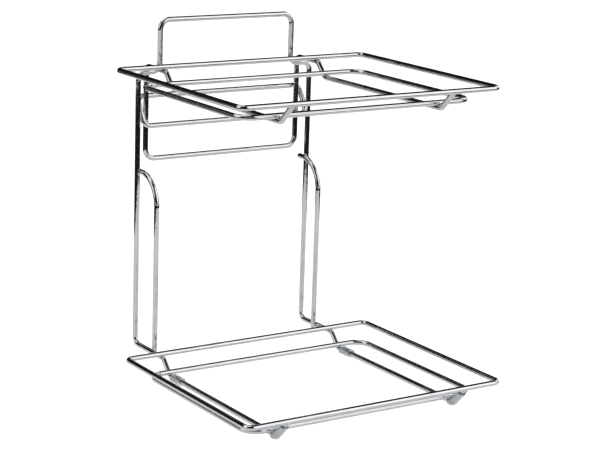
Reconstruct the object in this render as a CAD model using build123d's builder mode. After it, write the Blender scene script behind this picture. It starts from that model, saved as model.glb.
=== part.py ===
from build123d import *
from math import cos, radians, sin, sqrt, tan
import os

# Two-tier tray stand bent and welded from round wire. The lower unit is a floor-standing
# frame with a tray tier, two uprights, a guide ring and a carrying handle. The upper unit is
# a second tray tier whose hook drops over the frame's shoulders and through the guide ring,
# and it lifts straight off. X runs across the stand, Y to the back and Z up. The origin is on
# the table, under the middle of the whole stand.

# ---- driving dimensions, millimetres -------------------------------------------------------
wire = 6.35                  # diameter of every wire
weld_sink = 0.35             # how far two crossing wires are pressed together by their weld
hook_clearance = 0.3         # running gap between the lift-off tier and the frame
bend_radius = 8.0            # runner bends, on the wire's centre line
slope = 45.0                 # slope of the runner's rear ramp and of its front arm, degrees

tray_width = 325.0           # tray that a tier holds
tray_depth = 265.0
tray_play_width = 8.65       # free play of the tray between the rim wires
tray_play_depth = 0.65
rim_corner_radius = 8.0
ledge_side_inset = 18.0      # ledge wire inside the rim wire
ledge_drop = 16.5            # ledge wire below the rim wire
ledge_corner_radius = 19.0
ledge_margin = 0.8           # straight runner between a bend and the ledge wire over it

tier_spacing = 338.0         # lower rim to upper rim
upper_tier_set_back = 30.0   # upper rim's back wire behind the lower one
upright_set_back = 70.5      # uprights behind the lower rim's back wire
upright_spacing = 241.0      # centre to centre
upright_foot_radius = 9.0

handle_spacing = 184.0       # handle legs, centre to centre
handle_rise = 49.0           # grip above the upper rim
handle_corner_radius = 12.0
shoulder_radius = 10.0

hook_drop = 118.0            # bottom wire of the hook below the upper rim
hook_corner_radius = 12.0
hook_side_gap = 1.9          # hook to the guide ring's sides
ring_top_drop = 43.0         # guide ring's two long wires below the upper rim
ring_bottom_drop = 75.5
ring_front_reach = 5.5       # its lower wire in front of the uprights
ring_corner_radius = 8.0

brace_below_ring = 56.5      # top of the side brace under the guide ring's lower wire
brace_reach = 38.0           # upright to the brace's straight leg
brace_radius = 36.0
brace_overrun = 7.0          # end of the brace behind the upright's centre line
foot_joint_reach = 20.0      # butt weld between upright and runner, behind the rim
deburr = 0.5                 # chamfer on a wire end that stands free

sleeve_wall = 2.0            # plastic feet around the runners
sleeve_fit = 0.05
sole_flat = 0.3              # how far the weight flattens a foot's underside
rear_foot_length = 20.0
ledge_notch = 0.4            # gap between a foot and the ledge wire
arm_sleeve_gap = 6.0         # bare wire between a front foot and the rim


def corner_sag(reach, radius):
    """How far a rounded corner has fallen away from its side, at a reach past the tangent point."""
    past = min(max(reach, 0), radius)
    return radius - sqrt(radius**2 - past**2)


# ---- worked-out places -----------------------------------------------------------------------
weld_pitch = wire - weld_sink
rim_width = tray_width + tray_play_width + wire
rim_depth = tray_depth + tray_play_depth + wire

# Runner levels below its rim. The rear bend starts so that its outside touches the rim wire.
bend_reach = bend_radius * tan(radians(slope / 2))
runner_drop = ledge_drop + weld_pitch
stub_drop = sqrt((weld_pitch + bend_radius) ** 2 - bend_reach**2) - bend_radius
ramp_run = (runner_drop - stub_drop) / tan(radians(slope))
arm_run = runner_drop / tan(radians(slope))
ledge_back_inset = ramp_run + bend_reach + ledge_margin
ledge_front_inset = arm_run + bend_reach + ledge_margin

# Heights above the table
sleeve_radius = wire / 2 + sleeve_wall
lower_rim_z = runner_drop + sleeve_radius - sole_flat
upper_rim_z = lower_rim_z + tier_spacing
shoulder_z = upper_rim_z - stub_drop - wire - hook_clearance
foot_z = lower_rim_z - stub_drop

# Positions across the stand
upright_x = upright_spacing / 2
handle_x = handle_spacing / 2
inboard_x = upright_x - weld_pitch
hook_x = inboard_x - wire - hook_side_gap

# Positions front to back
hook_offset = wire + hook_clearance
hook_edge = hook_x + wire / 2
ring_sag = corner_sag(hook_edge - (inboard_x - ring_corner_radius), ring_corner_radius)
ring_back_reach = 2 * hook_offset + ring_sag
lower_back_y = (rim_depth - upright_set_back - ring_back_reach) / 2
upper_back_y = lower_back_y + upper_tier_set_back
upright_y = lower_back_y + upright_set_back
hook_y = upright_y + hook_offset
stub_joint_y = (upper_back_y + upright_y) / 2
foot_joint_y = lower_back_y + foot_joint_reach

os.makedirs("parts", exist_ok=True)


def save(piece, name):
    """Label a finished piece and write it under its own name."""
    piece.part.label = name
    export_step(piece.part, f"parts/{name}.step")


def bend_wire(name, corners, radii, closed=False, free_ends=False):
    """One length of wire, bent at each corner, or a closed loop butt-welded end to end."""
    with BuildPart() as bent:
        with BuildLine() as centre_line:
            FilletPolyline(*corners, radius=radii, close=closed)
        with BuildSketch(Plane(centre_line.line @ 0, z_dir=centre_line.line % 0)):
            Circle(wire / 2)
        sweep(path=centre_line.line)
        if free_ends:
            chamfer(bent.faces().filter_by(GeomType.PLANE).edges(), deburr)
    save(bent, name)


def tray_loops(tier, back_y, rim_z):
    """The rim around the tray and the smaller ledge loop under its edges."""
    half_width = rim_width / 2
    front_y = back_y - rim_depth
    rim = [
        (-half_width, back_y, rim_z),
        (half_width, back_y, rim_z),
        (half_width, front_y, rim_z),
        (-half_width, front_y, rim_z),
    ]
    bend_wire(f"{tier}_rim", rim, rim_corner_radius, closed=True)

    half_width -= ledge_side_inset
    ledge_z = rim_z - ledge_drop
    ledge = [
        (-half_width, back_y - ledge_back_inset, ledge_z),
        (half_width, back_y - ledge_back_inset, ledge_z),
        (half_width, front_y + ledge_front_inset, ledge_z),
        (-half_width, front_y + ledge_front_inset, ledge_z),
    ]
    bend_wire(f"{tier}_ledge", ledge, ledge_corner_radius, closed=True)


def runner_corners(x, start_y, back_y, rim_z, end_gap):
    """Centre line of a runner: in under the rim, down its ramp, forward, and up its front arm."""
    front_y = back_y - rim_depth
    arm_end = wire / 2 + end_gap
    return [
        (x, start_y, rim_z - stub_drop),
        (x, back_y, rim_z - stub_drop),
        (x, back_y - ramp_run, rim_z - runner_drop),
        (x, front_y + arm_run, rim_z - runner_drop),
        (x, front_y + arm_end * cos(radians(slope)), rim_z - arm_end * sin(radians(slope))),
    ]


def front_foot(side, x):
    """Plastic foot pulled over a front bend, notched for the ledge wire behind it."""
    front_y = lower_back_y - rim_depth
    runner_z = lower_rim_z - runner_drop
    arm_end = wire / 2 + arm_sleeve_gap
    corners = [
        (x, front_y + ledge_front_inset, runner_z),
        (x, front_y + arm_run, runner_z),
        (x, front_y + arm_end * cos(radians(slope)), lower_rim_z - arm_end * sin(radians(slope))),
    ]
    with BuildPart() as foot:
        with BuildLine() as centre_line:
            FilletPolyline(*corners, radius=bend_radius)
        with BuildSketch(Plane(centre_line.line @ 0, z_dir=centre_line.line % 0)):
            Circle(sleeve_radius)
            Circle(wire / 2 + sleeve_fit, mode=Mode.SUBTRACT)
        sweep(path=centre_line.line)
        ledge_axis = (x, front_y + ledge_front_inset, lower_rim_z - ledge_drop)
        with BuildSketch(Plane(ledge_axis, z_dir=(1, 0, 0))):
            Circle(wire / 2 + ledge_notch)
        extrude(amount=sleeve_radius, both=True, mode=Mode.SUBTRACT)
        split(bisect_by=Plane.XY)
    save(foot, f"front_foot_{side}")


def rear_foot(side, x):
    """Plastic foot around the straight runner just in front of its ramp."""
    outer_reach = upright_x + sleeve_radius - (rim_width / 2 - ledge_side_inset - ledge_corner_radius)
    ledge_front = wire / 2 + ledge_notch + corner_sag(outer_reach, ledge_corner_radius)
    back_end = lower_back_y - ledge_back_inset - ledge_front
    with BuildPart() as foot:
        with BuildSketch(Plane((x, back_end, lower_rim_z - runner_drop), z_dir=(0, -1, 0))):
            Circle(sleeve_radius)
            Circle(wire / 2 + sleeve_fit, mode=Mode.SUBTRACT)
        extrude(amount=rear_foot_length)
        split(bisect_by=Plane.XY)
    save(foot, f"rear_foot_{side}")


# ---- lower unit: frame, lower tier and feet --------------------------------------------------
grip_z = upper_rim_z + handle_rise
handle = [
    (-handle_x, upright_y, upper_rim_z),
    (-handle_x, upright_y, grip_z),
    (handle_x, upright_y, grip_z),
    (handle_x, upright_y, upper_rim_z),
]
bend_wire("handle", handle, handle_corner_radius)

ring_back_y = upright_y + ring_back_reach
ring_front_y = upright_y - ring_front_reach
ring = [
    (-inboard_x, ring_back_y, upper_rim_z - ring_top_drop),
    (inboard_x, ring_back_y, upper_rim_z - ring_top_drop),
    (inboard_x, ring_front_y, upper_rim_z - ring_bottom_drop),
    (-inboard_x, ring_front_y, upper_rim_z - ring_bottom_drop),
]
bend_wire("guide_ring", ring, ring_corner_radius, closed=True)

tray_loops("lower", lower_back_y, lower_rim_z)

for side, sign in (("left", -1), ("right", 1)):
    upright = [
        (sign * handle_x, upright_y, upper_rim_z),
        (sign * handle_x, upright_y, shoulder_z),
        (sign * upright_x, upright_y, shoulder_z),
        (sign * upright_x, upright_y, foot_z),
        (sign * upright_x, foot_joint_y, foot_z),
    ]
    bend_wire(f"upright_{side}", upright, [shoulder_radius, shoulder_radius, upright_foot_radius])

    runner = runner_corners(sign * upright_x, foot_joint_y, lower_back_y, lower_rim_z, -weld_sink)
    bend_wire(f"lower_runner_{side}", runner, bend_radius)

    brace_y = upright_y - brace_reach
    brace_z = upper_rim_z - ring_bottom_drop - brace_below_ring
    brace = [
        (sign * inboard_x, upright_y + brace_overrun, brace_z),
        (sign * inboard_x, brace_y, brace_z),
        (sign * inboard_x, brace_y, foot_z - wire / 2),
    ]
    bend_wire(f"side_brace_{side}", brace, brace_radius, free_ends=True)

    front_foot(side, sign * upright_x)
    rear_foot(side, sign * upright_x)

# ---- upper unit: lift-off tier and its hook --------------------------------------------------
tray_loops("upper", upper_back_y, upper_rim_z)

stub_z = upper_rim_z - stub_drop
hook = [
    (-hook_x, stub_joint_y, stub_z),
    (-hook_x, hook_y, stub_z),
    (-hook_x, hook_y, upper_rim_z - hook_drop),
    (hook_x, hook_y, upper_rim_z - hook_drop),
    (hook_x, hook_y, stub_z),
    (hook_x, stub_joint_y, stub_z),
]
bend_wire("hanger_hook", hook, [hook_offset, hook_corner_radius, hook_corner_radius, hook_offset])

for side, sign in (("left", -1), ("right", 1)):
    runner = runner_corners(sign * hook_x, stub_joint_y, upper_back_y, upper_rim_z, -weld_sink)
    bend_wire(f"upper_runner_{side}", runner, bend_radius)
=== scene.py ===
from math import cos, pi, radians, sin, tan

import bmesh
import bpy
from mathutils import Matrix, Vector, noise


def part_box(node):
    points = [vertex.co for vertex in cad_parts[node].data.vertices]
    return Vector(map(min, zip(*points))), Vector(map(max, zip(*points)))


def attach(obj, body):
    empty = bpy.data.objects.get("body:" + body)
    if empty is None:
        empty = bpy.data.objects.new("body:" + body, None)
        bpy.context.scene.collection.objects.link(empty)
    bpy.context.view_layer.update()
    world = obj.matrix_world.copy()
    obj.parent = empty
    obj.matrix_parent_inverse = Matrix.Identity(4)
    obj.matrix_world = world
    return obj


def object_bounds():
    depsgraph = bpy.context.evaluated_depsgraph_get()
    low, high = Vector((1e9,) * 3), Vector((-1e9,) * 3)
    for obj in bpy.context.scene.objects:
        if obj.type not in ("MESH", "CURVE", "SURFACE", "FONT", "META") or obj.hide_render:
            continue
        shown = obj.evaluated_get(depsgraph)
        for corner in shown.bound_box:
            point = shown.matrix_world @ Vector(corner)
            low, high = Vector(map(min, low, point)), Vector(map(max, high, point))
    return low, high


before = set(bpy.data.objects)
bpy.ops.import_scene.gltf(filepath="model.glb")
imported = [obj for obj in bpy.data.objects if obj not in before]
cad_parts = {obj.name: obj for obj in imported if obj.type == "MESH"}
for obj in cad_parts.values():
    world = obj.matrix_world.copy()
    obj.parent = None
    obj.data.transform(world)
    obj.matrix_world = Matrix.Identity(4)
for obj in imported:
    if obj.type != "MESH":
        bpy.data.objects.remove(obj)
cad_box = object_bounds()
FEET = [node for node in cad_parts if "_foot_" in node]
WIRES = [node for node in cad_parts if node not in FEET]
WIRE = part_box("handle")[1].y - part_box("handle")[0].y    # wire diameter
# Distance between the axes of two welded wires
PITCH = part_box("lower_ledge")[0].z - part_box("lower_runner_left")[0].z


# ---- node helpers ---------------------------------------------------------------------------
def new_material(name):
    """A node material with only its Principled shader and output."""
    material = bpy.data.materials.new(name)
    material.use_nodes = True
    return material, material.node_tree.nodes, material.node_tree.links


def noise_node(nodes, links, scale, detail):
    """Noise in the object's own metres, so its grain has a real size."""
    place = nodes.new("ShaderNodeTexCoord")
    texture = nodes.new("ShaderNodeTexNoise")
    texture.inputs["Scale"].default_value = scale
    texture.inputs["Detail"].default_value = detail
    links.new(place.outputs["Object"], texture.inputs["Vector"])
    return texture


def ramp(nodes, links, source, stops):
    """A colour ramp over a 0..1 signal; stops are (position, grey or colour)."""
    node = nodes.new("ShaderNodeValToRGB")
    points = node.color_ramp.elements
    for index, (position, value) in enumerate(stops):
        point = points[index] if index < 2 else points.new(position)
        point.position = position
        point.color = (*value, 1) if isinstance(value, tuple) else (value, value, value, 1)
    links.new(source, node.inputs["Fac"])
    return node


def bumps(nodes, links, layers, shader):
    """Stacked bump layers, each a (height output, strength, depth in metres), for the shader."""
    normal = None
    for height, strength, depth in layers:
        bump = nodes.new("ShaderNodeBump")
        bump.inputs["Strength"].default_value = strength
        bump.inputs["Distance"].default_value = depth
        links.new(height, bump.inputs["Height"])
        if normal:
            links.new(normal, bump.inputs["Normal"])
        normal = bump.outputs["Normal"]
    links.new(normal, shader.inputs["Normal"])


# ---- materials ------------------------------------------------------------------------------
# Noise scales, in grains to the metre
CHROME_CLOUD, CHROME_SMEAR, CHROME_WAVE, CHROME_PIT = 55, 210, 160, 2600
PLASTIC_CLOUD, PLASTIC_SCUFF = 320, 900
CLOUD_SHADE = 0.93      # tone of the chrome's darker clouds
HAZE_SPREAD = 2.4       # roughness of its haziest smears over that of its clearest


def chrome(name, colour, haze, ripple, pits):
    """Bright plate over drawn wire: cloudy roughness, shallow ripples and scattered fine pits."""
    material, nodes, links = new_material(name)
    shader = nodes["Principled BSDF"]
    shader.inputs["Metallic"].default_value = 1.0
    cloud = noise_node(nodes, links, CHROME_CLOUD, 4)
    tone = ramp(nodes, links, cloud.outputs["Fac"],
                [(0.35, colour), (0.7, tuple(channel * CLOUD_SHADE for channel in colour))])
    links.new(tone.outputs["Color"], shader.inputs["Base Color"])
    smear = noise_node(nodes, links, CHROME_SMEAR, 5)
    gloss = ramp(nodes, links, smear.outputs["Fac"], [(0.4, haze), (0.72, haze * HAZE_SPREAD)])
    links.new(gloss.outputs["Color"], shader.inputs["Roughness"])
    wave = noise_node(nodes, links, CHROME_WAVE, 2)
    pit = noise_node(nodes, links, CHROME_PIT, 1)
    sharp = ramp(nodes, links, pit.outputs["Fac"], [(0.24, 0.0), (0.34, 1.0)])
    layers = [(wave.outputs["Fac"], 1.0, ripple), (sharp.outputs["Color"], 0.5, pits)]
    bumps(nodes, links, layers, shader)
    return material


def clear_plastic(name):
    """Soft clear plastic: cloudy inside, with a satin skin and faint moulding ripples."""
    material, nodes, links = new_material(name)
    shader = nodes["Principled BSDF"]
    shader.inputs["Transmission Weight"].default_value = 0.92
    shader.inputs["IOR"].default_value = 1.52
    shader.inputs["Coat Weight"].default_value = 0.3
    shader.inputs["Coat Roughness"].default_value = 0.15
    cloud = noise_node(nodes, links, PLASTIC_CLOUD, 3)
    tone = ramp(nodes, links, cloud.outputs["Fac"],
                [(0.3, (0.88, 0.91, 0.93)), (0.7, (0.95, 0.97, 0.98))])
    links.new(tone.outputs["Color"], shader.inputs["Base Color"])
    scuff = noise_node(nodes, links, PLASTIC_SCUFF, 4)
    gloss = ramp(nodes, links, scuff.outputs["Fac"], [(0.35, 0.04), (0.7, 0.14)])
    links.new(gloss.outputs["Color"], shader.inputs["Roughness"])
    layers = [(cloud.outputs["Fac"], 0.6, 0.0003), (scuff.outputs["Fac"], 0.4, 0.00005)]
    bumps(nodes, links, layers, shader)
    return material


CHROME = chrome("chrome_wire", (0.83, 0.84, 0.86), haze=0.035, ripple=0.00006, pits=0.00001)
WELD = chrome("chrome_weld", (0.74, 0.75, 0.77), haze=0.09, ripple=0.0003, pits=0.00003)
PLASTIC = clear_plastic("clear_pvc")

for node in WIRES + FEET:
    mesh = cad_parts[node].data
    mesh.materials.clear()
    mesh.materials.append(PLASTIC if node in FEET else CHROME)


# ---- weld beads -----------------------------------------------------------------------------
BEAD_STEPS = 36
BEAD_GAP = 0.00105      # squeezed metal fills the crevice until it is this wide
BEAD_REACH = 0.0046     # but no farther than this from the middle of the weld
BEAD_HOLLOW = 0.16      # how far the bead's wall draws in between the wires
BEAD_SINK = 0.0004      # how far a bead's hidden edges go into the wires
COLLAR_LEG = 0.0011     # collar of an end weld, up the wire that ends
COLLAR_TOE = 0.0009     # and along the wire that it ends on
COLLAR_WRAP = 0.93      # share of that wire's radius that the collar reaches round
COLLAR_CORE = 0.8       # size of the collar's hidden end caps over its edges
BEAD_UNEVEN = 0.45
COLLAR_UNEVEN = 0.5
LUMP_SCALE = 900        # lumps to the metre
HALVINGS = 18           # of the search for a bead's edge


def lump(point, amount):
    """Factor near 1 that makes each bead uneven in its own way."""
    return 1 + amount * noise.noise(point * LUMP_SCALE)


def skin(shape, rings):
    """Closed skin over rings of points, capped at both ends."""
    rows = [[shape.verts.new(point) for point in ring] for ring in rings]
    for lower, upper in zip(rows, rows[1:]):
        for step in range(len(lower)):
            after = (step + 1) % len(lower)
            shape.faces.new((lower[step], lower[after], upper[after], upper[step]))
    shape.faces.new(list(reversed(rows[0])))
    shape.faces.new(rows[-1])


def crossing_bead(shape, middle, first, second, towards):
    """Bead round the contact of two crossing wires; towards points from the first to the second."""
    side = towards.cross(first)
    radius = WIRE / 2

    def surfaces(point):
        """Heights of the first and second wire's skins over a point of the plane between them."""
        off_first = min(point.cross(first).length, radius)
        off_second = min(point.cross(second).length, radius)
        return (-PITCH / 2 + (radius**2 - off_first**2) ** 0.5,
                PITCH / 2 - (radius**2 - off_second**2) ** 0.5)

    rims = []
    for step in range(BEAD_STEPS):
        turn = 2 * pi * step / BEAD_STEPS
        ray = cos(turn) * first + sin(turn) * side
        gap = BEAD_GAP * lump(middle + ray * radius, BEAD_UNEVEN)
        near, far = 0, BEAD_REACH
        for _ in range(HALVINGS):
            reach = (near + far) / 2
            low, high = surfaces(ray * reach)
            near, far = (reach, far) if high - low < gap else (near, reach)
        rims.append((ray, near, *surfaces(ray * near)))

    rings = []
    for level in (-1, 0, 0.2, 0.4, 0.6, 0.8, 1, 2):
        ring = []
        for ray, reach, low, high in rims:
            share = min(max(level, 0), 1)
            drawn_in = 1 - BEAD_HOLLOW * 4 * share * (1 - share)
            height = low + share * (high - low) + (level - share) * BEAD_SINK
            ring.append(middle + ray * reach * drawn_in + towards * height)
        rings.append(ring)
    skin(shape, rings)


def end_collar(shape, axis, away, along):
    """Collar where a wire ends square on another; away is the way the ending wire leaves."""
    side = away.cross(along)
    radius = WIRE / 2
    cut = radius - (WIRE - PITCH)
    starts, corners, toes = [], [], []
    for step in range(BEAD_STEPS):
        turn = 2 * pi * step / BEAD_STEPS
        around = radius * (along * cos(turn) + side * sin(turn))
        uneven = lump(axis + along * cos(turn) * radius + side * sin(turn) * radius, COLLAR_UNEVEN)
        wrap = COLLAR_WRAP * sin(turn)
        depth = radius * (1 - wrap**2) ** 0.5
        starts.append(axis + away * (cut + COLLAR_LEG * uneven) + around)
        corners.append(axis + away * depth + around)
        toes.append(axis + away * depth + side * radius * wrap
                    + along * (radius + COLLAR_TOE * uneven) * cos(turn))
    rings = [[axis + away * cut + (point - axis) * COLLAR_CORE for point in starts], starts]
    for share in (0.2, 0.4, 0.6, 0.8):
        rings.append([start.lerp(corner, share).lerp(corner.lerp(toe, share), share)
                      for start, corner, toe in zip(starts, corners, toes)])
    rings += [toes, [axis + (point - axis) * COLLAR_CORE for point in toes]]
    skin(shape, rings)


def bead_piece(name, body, shape):
    """One smooth piece from all the beads of a body's group."""
    bmesh.ops.recalc_face_normals(shape, faces=shape.faces)
    mesh = bpy.data.meshes.new(name)
    shape.to_mesh(mesh)
    shape.free()
    for face in mesh.polygons:
        face.use_smooth = True
    mesh.materials.append(WELD)
    piece = bpy.data.objects.new(name, mesh)
    bpy.context.scene.collection.objects.link(piece)
    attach(piece, body)


ACROSS, BACK, UP = Vector((1, 0, 0)), Vector((0, 1, 0)), Vector((0, 0, 1))
BEND_RADIUS = 0.008     # the runners' bends, on the wire's axis
SLOPE = radians(45)     # the runners' ramps and front arms


def tier_beads(tier, body):
    """Welds of one tier: its two runners on the rim, under the ledge and up to the front."""
    shape = bmesh.new()
    rim_low, rim_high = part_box(f"{tier}_rim")
    ledge_low, ledge_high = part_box(f"{tier}_ledge")
    rim_z = (rim_low.z + rim_high.z) / 2
    lean = BEND_RADIUS * tan(SLOPE / 2) / (PITCH + BEND_RADIUS)
    rise = (1 - lean**2) ** 0.5
    for side in ("left", "right"):
        low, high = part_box(f"{tier}_runner_{side}")
        x = (low.x + high.x) / 2
        rim_axis = Vector((x, rim_high.y - WIRE / 2, rim_z))
        up_to_rim = Vector((0, -lean, rise))
        down_runner = Vector((0, rise, lean))
        crossing_bead(shape, rim_axis - up_to_rim * PITCH / 2, down_runner, ACROSS, up_to_rim)
        for y in (ledge_low.y + WIRE / 2, ledge_high.y - WIRE / 2):
            contact = Vector((x, y, ledge_low.z + (WIRE - PITCH) / 2))
            crossing_bead(shape, contact, BACK, ACROSS, UP)
        front_axis = Vector((x, rim_low.y + WIRE / 2, rim_z))
        end_collar(shape, front_axis, Vector((0, cos(SLOPE), -sin(SLOPE))), ACROSS)
    bead_piece(f"{tier}_tier_welds", body, shape)


def frame_beads():
    """Welds of the guide ring and the side braces on the uprights."""
    shape = bmesh.new()
    ring_low, ring_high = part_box("guide_ring")
    ring_side = Vector((0, ring_high.y - ring_low.y - WIRE, ring_high.z - ring_low.z - WIRE))
    for side, sign in (("left", -1), ("right", 1)):
        low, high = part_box(f"upright_{side}")
        brace_low, brace_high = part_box(f"side_brace_{side}")
        upright_y = high.y - WIRE / 2
        x = (brace_low.x + brace_high.x) / 2 + sign * PITCH / 2
        outward = ACROSS * sign
        share = (upright_y - ring_low.y - WIRE / 2) / ring_side.y
        ring_z = ring_low.z + WIRE / 2 + share * ring_side.z
        crossing_bead(shape, Vector((x, upright_y, ring_z)), ring_side.normalized(), UP, outward)
        brace_top = Vector((x, upright_y, brace_high.z - WIRE / 2))
        crossing_bead(shape, brace_top, BACK, UP, outward)
        brace_foot = Vector((x, brace_low.y + WIRE / 2, low.z + WIRE / 2))
        crossing_bead(shape, brace_foot, UP, BACK, outward)
    bead_piece("frame_welds", "stand", shape)


tier_beads("lower", "stand")
tier_beads("upper", "upper_tier")
frame_beads()


# ---- stage ----------------------------------------------------------------------------------
DISC_STEPS = 96
GLOW_SEEN, GLOW_REFLECTED = 0.9, 0.24     # the floor's own light, to the camera and in the chrome
TABLE_RADIUS, CARD_NEAR, CARD_FAR, FLOOR_RADIUS = 0.84, 2.25, 6, 14

ROOM = 0.01     # brightness of the dark room around the soft boxes
# Direction, half width in degrees, edge softness in degrees and brightness
SOFT_BOXES = [
    ((0.542, -0.72, 0.43), 30, 5, 1.2),
    ((-0.22, 0.28, 0.93), 26, 4, 1.0),
    ((0.90, 0.20, 0.38), 22, 4, 1.0),
    ((-0.90, 0.15, 0.40), 22, 4, 1.0),
]


def disc(name, inner, outer, material, start=0, turn=360):
    """A flat ring on the floor, a sector of one, or a whole disc where inner is 0."""
    mesh = bpy.data.meshes.new(name)
    shape = bmesh.new()
    angles = [radians(start + turn * step / DISC_STEPS) for step in range(DISC_STEPS + 1)]
    if turn == 360:
        angles.pop()
    rings = [[shape.verts.new((radius * cos(a), radius * sin(a), 0)) for a in angles]
             for radius in (inner, outer) if radius > 0]
    if len(rings) == 1:
        shape.faces.new(rings[0])
    else:
        for step in range(DISC_STEPS):
            after = (step + 1) % len(angles)
            shape.faces.new((rings[0][step], rings[1][step], rings[1][after], rings[0][after]))
    shape.to_mesh(mesh)
    shape.free()
    mesh.materials.append(material)
    piece = bpy.data.objects.new(name, mesh)
    bpy.context.scene.collection.objects.link(piece)
    return piece


def pale_floor():
    """Matt white card with a light of its own, which is dimmer in the chrome than to the camera."""
    material, nodes, links = new_material("pale_floor")
    shader = nodes["Principled BSDF"]
    grain = noise_node(nodes, links, 9, 3)
    tone = ramp(nodes, links, grain.outputs["Fac"], [(0.3, 0.80), (0.7, 0.81)])
    links.new(tone.outputs["Color"], shader.inputs["Base Color"])
    shader.inputs["Roughness"].default_value = 0.9
    shader.inputs["Specular IOR Level"].default_value = 0.1
    shader.inputs["Emission Color"].default_value = (1, 1, 1, 1)
    ray = nodes.new("ShaderNodeLightPath")
    glow = nodes.new("ShaderNodeMapRange")
    glow.inputs["To Min"].default_value = GLOW_SEEN
    glow.inputs["To Max"].default_value = GLOW_REFLECTED
    links.new(ray.outputs["Is Glossy Ray"], glow.inputs["Value"])
    links.new(glow.outputs["Result"], shader.inputs["Emission Strength"])
    return material


# The chrome reflects only table_top and side_card; the camera sees one unbroken floor
card = pale_floor()
disc("table_top", 0, TABLE_RADIUS, card)
disc("side_card", CARD_NEAR, CARD_FAR, card, start=110, turn=180)
for part, near, far, start, turn in (
    ("floor_near", TABLE_RADIUS, CARD_NEAR, 0, 360),
    ("floor_right", CARD_NEAR, CARD_FAR, -70, 180),
    ("floor_far", CARD_FAR, FLOOR_RADIUS, 0, 360),
):
    disc(part, near, far, card, start, turn).visible_glossy = False


def studio_world():
    """Soft boxes in a dark room, which the chrome reflects, and the camera's white backdrop."""
    world = bpy.data.worlds.new("studio")
    bpy.context.scene.world = world
    world.use_nodes = True
    nodes, links = world.node_tree.nodes, world.node_tree.links
    background = nodes["Background"]
    background.inputs["Color"].default_value = (1, 1, 1, 1)
    place = nodes.new("ShaderNodeTexCoord")
    room = nodes.new("ShaderNodeMath")
    room.operation = "MAXIMUM"
    room.inputs[0].default_value = ROOM
    total = None
    for direction, half_width, edge, strength in SOFT_BOXES:
        dot = nodes.new("ShaderNodeVectorMath")
        dot.operation = "DOT_PRODUCT"
        dot.inputs[1].default_value = Vector(direction).normalized()
        links.new(place.outputs["Generated"], dot.inputs[0])
        soft = nodes.new("ShaderNodeMapRange")
        soft.interpolation_type = "SMOOTHSTEP"
        soft.inputs["From Min"].default_value = cos(radians(half_width + edge))
        soft.inputs["From Max"].default_value = cos(radians(half_width - edge))
        soft.inputs["To Min"].default_value = 0
        soft.inputs["To Max"].default_value = strength
        links.new(dot.outputs["Value"], soft.inputs["Value"])
        if total:
            add = nodes.new("ShaderNodeMath")
            add.operation = "MAXIMUM"
            links.new(total, add.inputs[0])
            links.new(soft.outputs["Result"], add.inputs[1])
            total = add.outputs["Value"]
        else:
            total = soft.outputs["Result"]
    links.new(total, room.inputs[1])
    seen = nodes.new("ShaderNodeLightPath")
    backdrop = nodes.new("ShaderNodeMix")
    backdrop.data_type = "FLOAT"
    links.new(seen.outputs["Is Camera Ray"], backdrop.inputs["Factor"])
    links.new(room.outputs["Value"], backdrop.inputs["A"])
    backdrop.inputs["B"].default_value = 1.0
    links.new(backdrop.outputs["Result"], background.inputs["Strength"])


studio_world()


def soft_light(name, direction, distance, size, power):
    """A square soft box aimed at the stand."""
    centre = (cad_box[0] + cad_box[1]) / 2
    light = bpy.data.lights.new(name, "AREA")
    light.size = size
    light.energy = power
    piece = bpy.data.objects.new(name, light)
    piece.location = centre + Vector(direction).normalized() * distance
    piece.rotation_mode = "QUATERNION"
    piece.rotation_quaternion = Vector(direction).to_track_quat("Z", "Y")
    piece.visible_glossy = False
    bpy.context.scene.collection.objects.link(piece)


soft_light("overhead", (0.1, -0.1, 1), 2.4, 2.2, 6)


# ---- camera ---------------------------------------------------------------------------------
SENSOR_WIDTH = 36       # mm, as the lens


def place_camera(azimuth, elevation, roll, distance, lens, aim):
    """Camera looking at aim from a bearing round the stand, with its horizon tipped by roll."""
    a, e, tip = radians(azimuth), radians(elevation), radians(roll)
    back = Vector((sin(a) * cos(e), -cos(a) * cos(e), sin(e)))
    level = Vector((cos(a), sin(a), 0))
    upright = back.cross(level)
    right = cos(tip) * level + sin(tip) * upright
    up = back.cross(right)
    data = bpy.data.cameras.new("camera")
    data.lens = lens
    data.sensor_width = SENSOR_WIDTH
    camera = bpy.data.objects.new("camera", data)
    target = right * aim[0] + up * aim[1]
    turn = Matrix((right, up, back)).transposed().to_4x4()
    camera.matrix_world = Matrix.Translation(target + back * distance) @ turn
    bpy.context.scene.collection.objects.link(camera)
    bpy.context.scene.camera = camera


place_camera(azimuth=-33.85, elevation=13.46, roll=1.96, distance=2.2316, lens=110.33,
             aim=(0.0196, 0.1869))
bpy.context.scene.view_settings.view_transform = "Standard"
